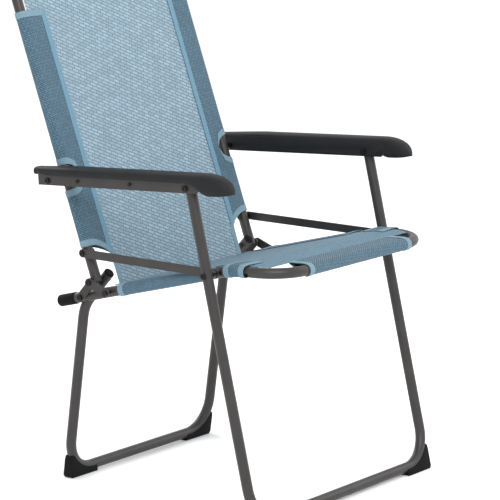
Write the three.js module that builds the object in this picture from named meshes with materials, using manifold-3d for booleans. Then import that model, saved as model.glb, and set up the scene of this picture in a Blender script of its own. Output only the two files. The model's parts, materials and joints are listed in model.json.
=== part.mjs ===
// Folding camp chair: four bent tube frames joined by flat link bars, hinge plates and armrests,
// with a fabric seat and a fabric back slung between the tubes.
// Millimetres. +Z is up, -Y is the front, X runs across. "forward" is -Y, counted from the seat pivot.
// The origin is on the floor, in the middle of the chair's outer box.
import * as THREE from 'three';
import { mergeVertices } from 'three/addons/utils/BufferGeometryUtils.js';
import Module from 'manifold-3d';

const wasm = await Module();
wasm.setup();
const { Manifold, Mesh: SolidMesh } = wasm;

// ---- driving dimensions ----
const TUBE_RADIUS = 9.5;
const WALL = 1.2;
const GAP = 0.3;
const SEAT_PIVOT_HEIGHT = 437;
const ORIGIN_FORWARD = -182.21;
// half widths: centre planes of the parts on each side
const FRONT_LEG_X = 262.5;
const BACK_X = 225;
const REAR_LEG_X = 204;
const HINGE_PLATE_X = 237.5;
const LINK_BAR_X = 241;
const STOP_HOOK_X = 246.3;
// lean of the frames, forward per unit of height
const FRONT_LEG_LEAN = -0.24;
const BACK_LEAN = -0.37;
const REAR_LEG_LEAN = 0.14;
const SEAT_RISE = 0.2653;
const CORNER_RADIUS = 72;
const FOOT_BEND_RADIUS = 62;
const FLOOR_BAR_HEIGHT = 12.7;
// pivots as [forward, height]
const BACK_AT_LINK = [-301.5, SEAT_PIVOT_HEIGHT];
const SEAT_PIVOT = [0, SEAT_PIVOT_HEIGHT];
const HINGE_TOP = [-282.7, 386.5];
const HINGE_REAR = [-311, SEAT_PIVOT_HEIGHT - SEAT_RISE * 311];
const HINGE_FRONT = [-244, SEAT_PIVOT_HEIGHT - SEAT_RISE * 244];
const ARM_REAR = [-350, 568];
const ARM_FRONT = [FRONT_LEG_LEAN * (586 - SEAT_PIVOT_HEIGHT), 586];
// fasteners
const BOLT_RADIUS = 3.5;
const HEAD_RADIUS = 5.4;
const HEAD_HEIGHT = 2.4;
const LOW_HEAD_HEIGHT = 1.4;
// fabric
const SLEEVE_RADIUS = 11.2;
const PANEL_THICKNESS = 2.4;

const backForward = height => BACK_AT_LINK[0] + BACK_LEAN * (height - SEAT_PIVOT_HEIGHT);
const frontLegForward = height => FRONT_LEG_LEAN * (height - SEAT_PIVOT_HEIGHT);
const rearLegForward = height => -377.7 + REAR_LEG_LEAN * height;
const seatHeight = forward => SEAT_PIVOT_HEIGHT + SEAT_RISE * forward;

const at = (x, forward, height) => new THREE.Vector3(x, ORIGIN_FORWARD - forward, height);

// ---- materials ----
const finish = (color, roughness, metalness) =>
  new THREE.MeshStandardMaterial({ color, roughness, metalness });
const framePaint = finish(0x4b4745, 0.45, 0.5);
const boltSteel = finish(0x2b2927, 0.4, 0.6);
const armPlastic = finish(0x35373a, 0.55, 0.0);
const capPlastic = finish(0x303136, 0.6, 0.0);
const footRubber = finish(0x262626, 0.85, 0.0);
const slingFabric = finish(0x7fa3b8, 0.8, 0.0);

// ---- solids ----
function toSolid(geometry) {
  const bare = geometry.clone();
  bare.deleteAttribute('normal');
  bare.deleteAttribute('uv');
  const merged = mergeVertices(bare, 1e-4);
  return new Manifold(new SolidMesh({
    numProp: 3,
    vertProperties: new Float32Array(merged.attributes.position.array),
    triVerts: new Uint32Array(merged.index.array),
  }));
}

function toGeometry(solid) {
  const mesh = solid.getMesh();
  const geometry = new THREE.BufferGeometry();
  geometry.setAttribute('position', new THREE.BufferAttribute(mesh.vertProperties, 3));
  geometry.setIndex(new THREE.BufferAttribute(mesh.triVerts, 1));
  geometry.computeVertexNormals();
  return geometry;
}

const chair = new THREE.Group();
chair.name = 'folding_camp_chair';

function addPart(name, solid, material) {
  const mesh = new THREE.Mesh(toGeometry(solid), material);
  mesh.name = name;
  chair.add(mesh);
}

// A path of straight runs whose inner corners are rounded by arcs, one station at each end of a run
// and a few along each arc.
class RoundedPath extends THREE.Curve {
  constructor(corners, radii, arcSteps = 6) {
    super();
    this.stations = [];
    this.tangents = [];
    const push = (point, tangent) => {
      this.stations.push(point.clone());
      this.tangents.push(tangent.clone());
    };
    for (let i = 0; i < corners.length; i++) {
      const before = i > 0 ? corners[i].clone().sub(corners[i - 1]).normalize() : null;
      const after = i < corners.length - 1 ? corners[i + 1].clone().sub(corners[i]).normalize() : null;
      if (!before || !after) {
        push(corners[i], before ?? after);
        continue;
      }
      const turn = before.angleTo(after);
      const inward = after.clone().sub(before).normalize();
      const centre = corners[i].clone().addScaledVector(inward, radii[i - 1] / Math.cos(turn / 2));
      const axis = before.clone().cross(after).normalize();
      const start = corners[i].clone().addScaledVector(before, -radii[i - 1] * Math.tan(turn / 2));
      const steps = Math.max(2, Math.round(arcSteps * turn / (Math.PI / 2)));
      for (let k = 0; k <= steps; k++) {
        const angle = turn * k / steps;
        const point = start.clone().sub(centre).applyAxisAngle(axis, angle).add(centre);
        push(point, before.clone().applyAxisAngle(axis, angle));
      }
    }
  }
  getPoint(t) {
    const place = t * (this.stations.length - 1);
    const i = Math.min(Math.floor(place), this.stations.length - 2);
    return this.stations[i].clone().lerp(this.stations[i + 1], place - i);
  }
  getPointAt(t) {
    return this.getPoint(t);
  }
  getTangentAt(t) {
    return this.tangents[Math.round(t * (this.stations.length - 1))].clone();
  }
}

function sweep(path, radius, sides, innerRadius = 0) {
  const section = new THREE.Shape().absarc(0, 0, radius, 0, Math.PI * 2, false);
  if (innerRadius > 0) {
    section.holes.push(new THREE.Path().absarc(0, 0, innerRadius, 0, Math.PI * 2, true));
  }
  const geometry = new THREE.ExtrudeGeometry(section, {
    steps: path.stations.length - 1,
    curveSegments: sides,
    bevelEnabled: false,
    extrudePath: path,
  });
  return toSolid(geometry);
}

// A round bar across the chair from x0 to x1 at a [forward, height] place.
function crossBar(place, x0, x1, radius, sides = 12) {
  const bar = new THREE.CylinderGeometry(radius, radius, Math.abs(x1 - x0), sides);
  bar.rotateZ(Math.PI / 2);
  const centre = at((x0 + x1) / 2, ...place);
  bar.translate(centre.x, centre.y, centre.z);
  return toSolid(bar);
}

// A flat plate lying in a side plane: an outline in [forward, height], thick along x.
function sidePlate(shape, x, thickness, curveSegments = 8) {
  const plate = new THREE.ExtrudeGeometry(shape, { depth: thickness, bevelEnabled: false, curveSegments });
  // shape (forward, height, depth) -> (x, y, z), keeping the turn of the axes right-handed
  const place = new THREE.Matrix4().set(
    0, 0, -1, x + thickness / 2,
    -1, 0, 0, ORIGIN_FORWARD,
    0, 1, 0, 0,
    0, 0, 0, 1);
  plate.applyMatrix4(place);
  return toSolid(plate);
}

const join = parts => parts.reduce((sum, part) => sum.add(part));
const cut = (solid, tools) => tools.reduce((rest, tool) => rest.subtract(tool), solid);

const sides = [[1, 'left'], [-1, 'right']];

// ---- frame tubes ----
const mirrored = points => [...points, ...points.map(p => new THREE.Vector3(-p.x, p.y, p.z)).reverse()];
const bothWays = radii => [...radii, ...[...radii].reverse()];

const hingeRise = new THREE.Vector2(HINGE_TOP[0] - HINGE_REAR[0], HINGE_TOP[1] - HINGE_REAR[1]).normalize();
const REAR_TOP_REACH = 16;
const REAR_ELBOW_REACH = 30.6;
const rearTop = [HINGE_TOP[0] + REAR_TOP_REACH * hingeRise.x, HINGE_TOP[1] + REAR_TOP_REACH * hingeRise.y];
const rearElbow = [HINGE_REAR[0] - REAR_ELBOW_REACH * hingeRise.x,
  HINGE_REAR[1] - REAR_ELBOW_REACH * hingeRise.y];

const FRONT_LEG_TOP = 594;
const frontLegPath = new RoundedPath(mirrored([
  at(FRONT_LEG_X, frontLegForward(FRONT_LEG_TOP), FRONT_LEG_TOP),
  at(FRONT_LEG_X, frontLegForward(FLOOR_BAR_HEIGHT), FLOOR_BAR_HEIGHT),
]), bothWays([FOOT_BEND_RADIUS]));

const rearLegPath = new RoundedPath(mirrored([
  at(REAR_LEG_X, ...rearTop),
  at(REAR_LEG_X, ...rearElbow),
  at(REAR_LEG_X, rearLegForward(FLOOR_BAR_HEIGHT), FLOOR_BAR_HEIGHT),
]), bothWays([70, FOOT_BEND_RADIUS]));

const BACK_LOW = 384.5;
const BACK_TOP = 953;
const backPath = new RoundedPath(mirrored([
  at(BACK_X, backForward(BACK_LOW), BACK_LOW),
  at(BACK_X, backForward(BACK_TOP), BACK_TOP),
]), bothWays([CORNER_RADIUS]));

const SEAT_REAR = -364;
const SEAT_KNEE = 30;
const SEAT_KNEE_RADIUS = 200;
const SEAT_FRONT = 128;
const seatPath = new RoundedPath(mirrored([
  at(BACK_X, SEAT_REAR, seatHeight(SEAT_REAR)),
  at(BACK_X, SEAT_KNEE, seatHeight(SEAT_KNEE)),
  at(BACK_X, SEAT_FRONT, seatHeight(SEAT_KNEE)),
]), bothWays([SEAT_KNEE_RADIUS, CORNER_RADIUS]));

const TUBE_QUARTERS = 6;
const tube = path => sweep(path, TUBE_RADIUS, TUBE_QUARTERS, TUBE_RADIUS - WALL);
const envelope = (path, extra) => sweep(path, TUBE_RADIUS + extra, TUBE_QUARTERS);
const boltHole = (place, x0, x1) => join(sides.map(([s]) =>
  crossBar(place, s * x0, s * x1, BOLT_RADIUS + GAP)));
const around = x => [x - TUBE_RADIUS - 3, x + TUBE_RADIUS + 3];

addPart('front_leg_frame', cut(tube(frontLegPath), [
  boltHole(SEAT_PIVOT, ...around(FRONT_LEG_X)),
  boltHole(ARM_FRONT, ...around(FRONT_LEG_X)),
]), framePaint);
addPart('rear_leg_frame', cut(tube(rearLegPath), [
  boltHole(HINGE_TOP, ...around(REAR_LEG_X)),
  boltHole(HINGE_REAR, ...around(REAR_LEG_X)),
]), framePaint);
addPart('back_frame', cut(tube(backPath), [
  boltHole(BACK_AT_LINK, ...around(BACK_X)),
  boltHole(ARM_REAR, ...around(BACK_X)),
]), framePaint);
addPart('seat_frame', cut(tube(seatPath), [
  boltHole(SEAT_PIVOT, ...around(BACK_X)),
  boltHole(HINGE_REAR, ...around(BACK_X)),
  boltHole(HINGE_FRONT, ...around(BACK_X)),
]), framePaint);

// ---- rubber feet: cradles that fill the bend between the tube and the floor ----
const FOOT_WIDTH = 22;
const FOOT_HEIGHT = 42;
const FOOT_LENGTH = 74;
const FOOT_SIDE_WALL = 1.5;
const FOOT_FLARE = 2;
const FOOT_CHAMFER = 4;

function foot(legX, side, forwardAtFloor, lean, path) {
  const outer = legX + FOOT_SIDE_WALL;
  const bendCentre = [legX - FOOT_BEND_RADIUS, FLOOR_BAR_HEIGHT + FOOT_BEND_RADIUS];
  const profile = new THREE.Shape();
  profile.moveTo(outer - FOOT_CHAMFER, 0);
  profile.lineTo(outer, FOOT_CHAMFER + 1);
  profile.lineTo(outer + FOOT_FLARE, FOOT_HEIGHT);
  const topAngle = Math.asin((FOOT_HEIGHT - bendCentre[1]) / FOOT_BEND_RADIUS);
  profile.absarc(bendCentre[0], bendCentre[1], FOOT_BEND_RADIUS, topAngle, -Math.PI / 2, true);
  profile.lineTo(outer - FOOT_LENGTH + FOOT_CHAMFER, FLOOR_BAR_HEIGHT);
  profile.lineTo(outer - FOOT_LENGTH, 0);
  profile.closePath();
  const options = { depth: FOOT_WIDTH, bevelEnabled: false, curveSegments: 6 };
  const block = new THREE.ExtrudeGeometry(profile, options);
  block.translate(0, 0, -FOOT_WIDTH / 2);
  // (x, height, depth) -> (x, y, z), sheared so that the block leans with the leg but stays flat below
  const drop = lean * FLOOR_BAR_HEIGHT;
  block.applyMatrix4(new THREE.Matrix4().set(
    side, 0, 0, 0,
    0, -lean, -side, ORIGIN_FORWARD - forwardAtFloor + drop,
    0, 1, 0, 0,
    0, 0, 0, 1));
  return toSolid(block).subtract(envelope(path, GAP));
}

for (const [s, sideName] of sides) {
  addPart(`front_foot_${sideName}`,
    foot(FRONT_LEG_X, s, frontLegForward(FLOOR_BAR_HEIGHT), FRONT_LEG_LEAN, frontLegPath), footRubber);
  addPart(`rear_foot_${sideName}`,
    foot(REAR_LEG_X, s, rearLegForward(FLOOR_BAR_HEIGHT), REAR_LEG_LEAN, rearLegPath), footRubber);
}

// ---- end caps and plugs ----
const PLUG_DEPTH = 3;
function endPlug(x, end, away, discLength, discRadius) {
  const start = at(x, ...end).addScaledVector(away, GAP);
  const line = (from, length) => new RoundedPath([from, from.clone().addScaledVector(away, length)], []);
  const inside = line(at(x, ...end).addScaledVector(away, -PLUG_DEPTH), PLUG_DEPTH + GAP + 0.5);
  return sweep(line(start, discLength), discRadius, TUBE_QUARTERS)
    .add(sweep(inside, TUBE_RADIUS - WALL - GAP - 0.2, TUBE_QUARTERS));
}

const seatDirection = at(0, 1, SEAT_RISE).sub(at(0, 0, 0)).normalize();
const backDirection = at(0, BACK_LEAN, 1).sub(at(0, 0, 0)).normalize();
const hingeDirection = at(0, hingeRise.x, hingeRise.y).sub(at(0, 0, 0)).normalize();
const frontLegDirection = at(0, FRONT_LEG_LEAN, 1).sub(at(0, 0, 0)).normalize();
const CAP_LENGTH = 40;
const CAP_RADIUS = 10.8;

for (const [s, sideName] of sides) {
  // the seat's rear cap is a cup over the tube's end
  const cupBase = at(s * BACK_X, SEAT_REAR, seatHeight(SEAT_REAR));
  const cupLine = (back, front) => new RoundedPath([
    cupBase.clone().addScaledVector(seatDirection, -back),
    cupBase.clone().addScaledVector(seatDirection, front),
  ], []);
  addPart(`seat_end_cap_${sideName}`, sweep(cupLine(5, CAP_LENGTH - 5), CAP_RADIUS, TUBE_QUARTERS)
    .subtract(sweep(cupLine(GAP, CAP_LENGTH), TUBE_RADIUS + GAP, TUBE_QUARTERS)), capPlastic);
  addPart(`rear_leg_cap_${sideName}`,
    endPlug(s * REAR_LEG_X, rearTop, hingeDirection, 3, TUBE_RADIUS), capPlastic);
  const backLow = [backForward(BACK_LOW), BACK_LOW];
  addPart(`back_end_plug_${sideName}`,
    endPlug(s * BACK_X, backLow, backDirection.clone().negate(), 0.8, TUBE_RADIUS - 0.5), capPlastic);
  const legTop = [frontLegForward(FRONT_LEG_TOP), FRONT_LEG_TOP];
  addPart(`front_leg_plug_${sideName}`,
    endPlug(s * FRONT_LEG_X, legTop, frontLegDirection, 2, TUBE_RADIUS), capPlastic);
}

// ---- link bars: flat bars with round ends from the back tube to the seat pivot ----
const LINK_THICKNESS = 3;
const LINK_HALF_HEIGHT = 7.5;

function roundedBar(from, to, half) {
  const run = new THREE.Vector2(to[0] - from[0], to[1] - from[1]);
  const angle = run.angle();
  const shape = new THREE.Shape();
  shape.absarc(to[0], to[1], half, angle - Math.PI / 2, angle + Math.PI / 2, false);
  shape.absarc(from[0], from[1], half, angle + Math.PI / 2, angle + Math.PI * 1.5, false);
  shape.closePath();
  return shape;
}

const plateHole = (place, side, x) =>
  crossBar(place, side * (x - 5), side * (x + 5), BOLT_RADIUS + GAP);

for (const [s, sideName] of sides) {
  const outline = roundedBar(BACK_AT_LINK, SEAT_PIVOT, LINK_HALF_HEIGHT);
  const holes = [BACK_AT_LINK, SEAT_PIVOT].map(place => plateHole(place, s, LINK_BAR_X));
  addPart(`link_bar_${sideName}`, cut(sidePlate(outline, s * LINK_BAR_X, LINK_THICKNESS), holes), framePaint);
}

// ---- hinge plates from the top pivot to the rear pivot, and stop hooks that drop over the seat studs ----
const PLATE_THICKNESS = 3;
const ARM_HALF_WIDTH = 8;
const STUD_RADIUS = 3;
const NOTCH_DEPTH = 20;

for (const [s, sideName] of sides) {
  const plateOutline = roundedBar(HINGE_REAR, HINGE_TOP, ARM_HALF_WIDTH);
  const plate = sidePlate(plateOutline, s * HINGE_PLATE_X, PLATE_THICKNESS);
  const plateHoles = [HINGE_TOP, HINGE_REAR].map(place => plateHole(place, s, HINGE_PLATE_X));
  addPart(`hinge_plate_${sideName}`, cut(plate, plateHoles), framePaint);

  // the hook's notch is open downwards, square to the seat tube
  const hookOutline = roundedBar(HINGE_FRONT, HINGE_TOP, ARM_HALF_WIDTH);
  const hook = sidePlate(hookOutline, s * STOP_HOOK_X, PLATE_THICKNESS);
  const down = [SEAT_RISE, -1].map(v => v / Math.hypot(SEAT_RISE, 1));
  const notchEnd = [HINGE_FRONT[0] + NOTCH_DEPTH * down[0], HINGE_FRONT[1] + NOTCH_DEPTH * down[1]];
  const notchOutline = roundedBar(HINGE_FRONT, notchEnd, STUD_RADIUS + GAP);
  const notch = sidePlate(notchOutline, s * STOP_HOOK_X, PLATE_THICKNESS + 5);
  addPart(`stop_hook_${sideName}`, cut(hook, [notch, plateHole(HINGE_TOP, s, STOP_HOOK_X)]), framePaint);
}

// ---- armrests: a steel channel over the front leg, under a moulded pad ----
const CHANNEL_HALF_WIDTH = 15;
const CHANNEL_WALL = 2;
const CHANNEL_RISE = Math.atan2(ARM_FRONT[1] - ARM_REAR[1], ARM_FRONT[0] - ARM_REAR[0]);
const CHANNEL_TOP = 17;
const CHANNEL_BOTTOM = -8;
const CHANNEL_REAR = -22;
const CHANNEL_FRONT = 30;
const ARM_SPAN = Math.hypot(ARM_FRONT[0] - ARM_REAR[0], ARM_FRONT[1] - ARM_REAR[1]);

// arm frame: along the armrest from the rear pivot, up from the pivot line, as [forward, height]
function onArm(along, up) {
  const c = Math.cos(CHANNEL_RISE);
  const n = Math.sin(CHANNEL_RISE);
  return [ARM_REAR[0] + along * c - up * n, ARM_REAR[1] + along * n + up * c];
}
function armOutline(points) {
  return new THREE.Shape(points.map(([along, up]) => new THREE.Vector2(...onArm(along, up))));
}
const channelOutline = armOutline([
  [CHANNEL_REAR, CHANNEL_BOTTOM], [ARM_SPAN + CHANNEL_FRONT - 6, CHANNEL_BOTTOM],
  [ARM_SPAN + CHANNEL_FRONT, CHANNEL_BOTTOM + 8], [ARM_SPAN + CHANNEL_FRONT, CHANNEL_TOP],
  [CHANNEL_REAR, CHANNEL_TOP],
]);
const channelSpace = armOutline([
  [CHANNEL_REAR - 5, CHANNEL_BOTTOM - 5], [ARM_SPAN + CHANNEL_FRONT + 5, CHANNEL_BOTTOM - 5],
  [ARM_SPAN + CHANNEL_FRONT + 5, CHANNEL_TOP - CHANNEL_WALL], [CHANNEL_REAR - 5, CHANNEL_TOP - CHANNEL_WALL],
]);

// the pad's side outline: flat below, crowned above, drooping over the channel's front end
const PAD_BASE = CHANNEL_TOP + GAP;
const PAD_THICKNESS = 9;
const PAD_REAR = -36;
const PAD_NOSE = ARM_SPAN + 96;
const padOutline = armOutline([
  [PAD_REAR, PAD_BASE], [ARM_SPAN + CHANNEL_FRONT + GAP, PAD_BASE],
  [ARM_SPAN + CHANNEL_FRONT + GAP, -6], [ARM_SPAN + 60, -10], [PAD_NOSE - 8, -6], [PAD_NOSE, 2],
  [PAD_NOSE - 5, 13], [PAD_NOSE - 20, 23], [PAD_NOSE - 42, PAD_BASE + PAD_THICKNESS],
  [PAD_REAR + 90, PAD_BASE + 7], [PAD_REAR + 4, PAD_BASE + 7], [PAD_REAR, PAD_BASE + 4],
]);
const PAD_CENTRE_X = 267;
const PAD_HALF_WIDTH = 19.5;
const PAD_REAR_HALF_WIDTH = 16;

const SCREW_STATIONS = [['rear', 71], ['middle', 191]];
const SCREW_HEIGHT = 2;
const SCREW_HEAD = 2.2;
const SCREW_RADIUS = 3.4;

for (const [s, sideName] of sides) {
  const x = s * FRONT_LEG_X;
  const pivotHoles = [ARM_REAR, ARM_FRONT].map(place =>
    crossBar(place, x - 20, x + 20, BOLT_RADIUS + GAP));
  const channel = sidePlate(channelOutline, x, CHANNEL_HALF_WIDTH * 2)
    .subtract(sidePlate(channelSpace, x, (CHANNEL_HALF_WIDTH - CHANNEL_WALL) * 2));
  addPart(`armrest_channel_${sideName}`, cut(channel, pivotHoles), framePaint);

  // seen from above the pad narrows to the rear
  const plan = new THREE.Shape();
  const rear = ARM_REAR[0] + PAD_REAR - 10;
  const nose = ARM_REAR[0] + PAD_NOSE + 10;
  plan.moveTo(PAD_CENTRE_X - PAD_REAR_HALF_WIDTH, rear);
  plan.lineTo(PAD_CENTRE_X + PAD_REAR_HALF_WIDTH, rear);
  plan.lineTo(PAD_CENTRE_X + PAD_HALF_WIDTH, rear + 150);
  plan.lineTo(PAD_CENTRE_X + PAD_HALF_WIDTH, nose - 40);
  plan.quadraticCurveTo(PAD_CENTRE_X + PAD_HALF_WIDTH, nose - 10, PAD_CENTRE_X, nose - 9.5);
  plan.quadraticCurveTo(PAD_CENTRE_X - PAD_HALF_WIDTH, nose - 10, PAD_CENTRE_X - PAD_HALF_WIDTH, nose - 40);
  plan.lineTo(PAD_CENTRE_X - PAD_HALF_WIDTH, rear + 150);
  plan.closePath();
  const column = new THREE.ExtrudeGeometry(plan, { depth: 200, bevelEnabled: false, curveSegments: 4 });
  // (x, forward, height) -> (x, y, z)
  column.applyMatrix4(new THREE.Matrix4().set(
    s, 0, 0, 0,
    0, -1, 0, ORIGIN_FORWARD,
    0, 0, s > 0 ? -1 : 1, s > 0 ? 680 : 480,
    0, 0, 0, 1));
  const columnSolid = toSolid(column);
  addPart(`armrest_pad_${sideName}`,
    sidePlate(padOutline, s * PAD_CENTRE_X, PAD_HALF_WIDTH * 2 + 4).intersect(columnSolid), armPlastic);

  for (const [screwName, along] of SCREW_STATIONS) {
    const outside = FRONT_LEG_X + CHANNEL_HALF_WIDTH;
    const place = onArm(along, SCREW_HEIGHT);
    const head = crossBar(place, s * (outside + GAP), s * (outside + SCREW_HEAD), SCREW_RADIUS);
    addPart(`armrest_${screwName}_screw_${sideName}`, head, boltSteel);
  }
}

// ---- bolts, spacers and studs ----
const legInner = FRONT_LEG_X - TUBE_RADIUS;
const legOuter = FRONT_LEG_X + TUBE_RADIUS;
const linkInner = LINK_BAR_X - LINK_THICKNESS / 2;
const linkOuter = LINK_BAR_X + LINK_THICKNESS / 2;
const backInner = BACK_X - TUBE_RADIUS;
const backOuter = BACK_X + TUBE_RADIUS;
const plateInner = HINGE_PLATE_X - PLATE_THICKNESS / 2;
const plateOuter = HINGE_PLATE_X + PLATE_THICKNESS / 2;
const hookInner = STOP_HOOK_X - PLATE_THICKNESS / 2;
const hookOuter = STOP_HOOK_X + PLATE_THICKNESS / 2;
const rearInner = REAR_LEG_X - TUBE_RADIUS;
const channelInner = FRONT_LEG_X - CHANNEL_HALF_WIDTH;
const channelOuter = FRONT_LEG_X + CHANNEL_HALF_WIDTH;
const NECK = 1.2;
const STUD_HEAD_RADIUS = 5.4;
const STUD_HEAD_HEIGHT = 2.4;
const SPACER_RADIUS = 6.5;
const PIVOT_WASHER_RADIUS = 8;
const BUSH_RADIUS = 6;

function bolt(place, side, inner, outer, heads = 'both', height = HEAD_HEIGHT) {
  const shank = crossBar(place, side * (inner - 0.5), side * (outer + 0.5), BOLT_RADIUS);
  const outerHead = crossBar(place, side * (outer + GAP), side * (outer + GAP + height), HEAD_RADIUS);
  const innerHead = crossBar(place, side * (inner - GAP - height), side * (inner - GAP), HEAD_RADIUS);
  const parts = [shank];
  if (heads !== 'inner') parts.push(outerHead);
  if (heads !== 'outer') parts.push(innerHead);
  return join(parts);
}
function spacer(place, side, inner, outer, radius = SPACER_RADIUS) {
  return crossBar(place, side * (inner + GAP), side * (outer - GAP), radius)
    .subtract(crossBar(place, side * (inner - 1), side * (outer + 1), BOLT_RADIUS + GAP));
}

for (const [s, sideName] of sides) {
  addPart(`seat_pivot_bolt_${sideName}`, bolt(SEAT_PIVOT, s, backInner, legOuter), boltSteel);
  addPart(`seat_pivot_spacer_${sideName}`, spacer(SEAT_PIVOT, s, linkOuter, legInner), boltSteel);
  addPart(`seat_pivot_washer_${sideName}`,
    spacer(SEAT_PIVOT, s, backOuter, linkInner, PIVOT_WASHER_RADIUS), boltSteel);
  addPart(`link_bar_bolt_${sideName}`,
    bolt(BACK_AT_LINK, s, backInner, linkOuter, 'both', LOW_HEAD_HEIGHT), boltSteel);
  addPart(`link_bar_washer_${sideName}`, spacer(BACK_AT_LINK, s, backOuter, linkInner), boltSteel);
  addPart(`rear_hinge_bolt_${sideName}`, bolt(HINGE_REAR, s, rearInner, plateOuter), boltSteel);
  // the top pivot is two short bolts, one each side of the back tube, which stays clear of both
  addPart(`top_hinge_inner_bolt_${sideName}`, join([
    crossBar(HINGE_TOP, s * (rearInner - GAP - HEAD_HEIGHT), s * (rearInner - GAP), HEAD_RADIUS),
    crossBar(HINGE_TOP, s * (rearInner - GAP - 1), s * (REAR_LEG_X + TUBE_RADIUS + NECK), BOLT_RADIUS),
  ]), boltSteel);
  addPart(`top_hinge_outer_bolt_${sideName}`, join([
    crossBar(HINGE_TOP, s * (hookOuter + GAP), s * (hookOuter + GAP + HEAD_HEIGHT), HEAD_RADIUS),
    crossBar(HINGE_TOP, s * (plateInner - 0.8), s * (hookOuter + 1), BOLT_RADIUS),
  ]), boltSteel);
  addPart(`top_hinge_spacer_${sideName}`, spacer(HINGE_TOP, s, plateOuter, hookInner, 5.5), boltSteel);
  addPart(`seat_stud_${sideName}`, join([
    crossBar(HINGE_FRONT, s * (backInner + 2), s * (hookOuter + 0.8), STUD_RADIUS),
    crossBar(HINGE_FRONT, s * (hookOuter + 0.5), s * (hookOuter + 0.5 + STUD_HEAD_HEIGHT), STUD_HEAD_RADIUS),
  ]), boltSteel);
  addPart(`arm_rear_bolt_${sideName}`,
    bolt(ARM_REAR, s, channelInner + CHANNEL_WALL, channelOuter, 'outer'), boltSteel);
  addPart(`arm_rear_bush_${sideName}`, join([
    crossBar(ARM_REAR, s * (backOuter + GAP), s * (channelInner - 1), BUSH_RADIUS),
    crossBar(ARM_REAR, s * (backInner + 2), s * (backOuter + 1), BOLT_RADIUS - 0.2),
  ]), boltSteel);
  addPart(`arm_front_bolt_${sideName}`, bolt(ARM_FRONT, s, channelInner, channelOuter), boltSteel);
}

// ---- fabric: sleeves round the tubes, joined by a panel ----
function sleeveAlong(x, from, to) {
  return sweep(new RoundedPath([at(x, ...from), at(x, ...to)], []), SLEEVE_RADIUS, TUBE_QUARTERS);
}
function sleeveAcross(place, halfLength) {
  return crossBar(place, -halfLength, halfLength, SLEEVE_RADIUS);
}
// a flat panel between two [forward, height] places
function panel(from, to, halfWidth, drop) {
  const run = new THREE.Vector2(to[0] - from[0], to[1] - from[1]);
  const box = new THREE.BoxGeometry(halfWidth * 2, run.length(), PANEL_THICKNESS);
  box.rotateX(-run.angle());
  const normal = new THREE.Vector2(-run.y, run.x).normalize();
  const centre = at(0, (from[0] + to[0]) / 2 + normal.x * drop, (from[1] + to[1]) / 2 + normal.y * drop);
  box.translate(centre.x, centre.y, centre.z);
  return toSolid(box);
}
const onSeat = forward => [forward, seatHeight(forward)];
const onBack = height => [backForward(height), height];
const PANEL_DROP = 6;
const SEAT_SLEEVE_REAR = -225;
const SEAT_SLEEVE_FRONT = 64;
const BACK_SLEEVE_LOW = 447;
const BACK_SLEEVE_TOP = 856;
const ARM_GAP_LOW = 535;
const ARM_GAP_HIGH = 600;
const PIVOT_GAP = 19;
// the narrow tails that run on behind the sleeves until the seat and back nearly meet
const BACK_PANEL_LOW = 378;
const BACK_TAIL_HALF_WIDTH = 165;
const SEAT_PANEL_REAR = -272;
const SEAT_TAIL_HALF_WIDTH = 160;

const seatFront = [SEAT_FRONT, seatHeight(SEAT_KNEE)];
const sleeveRestart = onSeat(PIVOT_GAP - 4);
const sleeveEnd = [SEAT_SLEEVE_FRONT - 10, seatFront[1]];
const seatSling = join([
  ...sides.flatMap(([s]) => [
    sleeveAlong(s * BACK_X, onSeat(SEAT_SLEEVE_REAR), onSeat(-PIVOT_GAP)),
    sleeveAlong(s * BACK_X, sleeveRestart, sleeveEnd),
  ]),
  sleeveAcross(seatFront, BACK_X - CORNER_RADIUS),
  panel(onSeat(SEAT_SLEEVE_REAR), onSeat(-PIVOT_GAP), BACK_X, PANEL_DROP),
  panel(onSeat(SEAT_PANEL_REAR), onSeat(SEAT_SLEEVE_REAR + 6), SEAT_TAIL_HALF_WIDTH, PANEL_DROP),
  panel(onSeat(-PIVOT_GAP - 20), onSeat(22), BACK_X - TUBE_RADIUS - 3, PANEL_DROP),
  panel(sleeveRestart, sleeveEnd, BACK_X, PANEL_DROP),
  panel([40, seatFront[1]], seatFront, BACK_X - CORNER_RADIUS, PANEL_DROP),
]);
addPart('seat_fabric', cut(seatSling, [
  envelope(seatPath, GAP),
  ...sides.map(([s]) => crossBar(SEAT_PIVOT, s * (backInner - 6), s * (backOuter + 4), 11)),
]), slingFabric);

const backTop = [backForward(BACK_TOP), BACK_TOP];
const backSling = join([
  ...sides.flatMap(([s]) => [
    sleeveAlong(s * BACK_X, onBack(BACK_SLEEVE_LOW + 8), onBack(ARM_GAP_LOW)),
    sleeveAlong(s * BACK_X, onBack(ARM_GAP_HIGH), onBack(BACK_SLEEVE_TOP)),
  ]),
  sleeveAcross(backTop, BACK_X - CORNER_RADIUS),
  panel(onBack(BACK_SLEEVE_TOP), onBack(ARM_GAP_HIGH), BACK_X, PANEL_DROP),
  panel(onBack(ARM_GAP_HIGH + 5), onBack(ARM_GAP_LOW - 5), BACK_X - TUBE_RADIUS - 4, PANEL_DROP),
  panel(onBack(ARM_GAP_LOW), onBack(BACK_SLEEVE_LOW + 8), BACK_X, PANEL_DROP),
  panel(onBack(BACK_SLEEVE_LOW + 10), onBack(BACK_PANEL_LOW), BACK_TAIL_HALF_WIDTH, PANEL_DROP),
  panel(backTop, onBack(BACK_SLEEVE_TOP - 5), BACK_X - CORNER_RADIUS, PANEL_DROP),
]);
addPart('back_fabric', backSling.subtract(envelope(backPath, GAP)), slingFabric);

export default chair;
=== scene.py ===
"""Folding camp chair: smooth tubes, moulded armrests and feet, and a woven seat and back, built round the
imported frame."""

import json
import math

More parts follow.
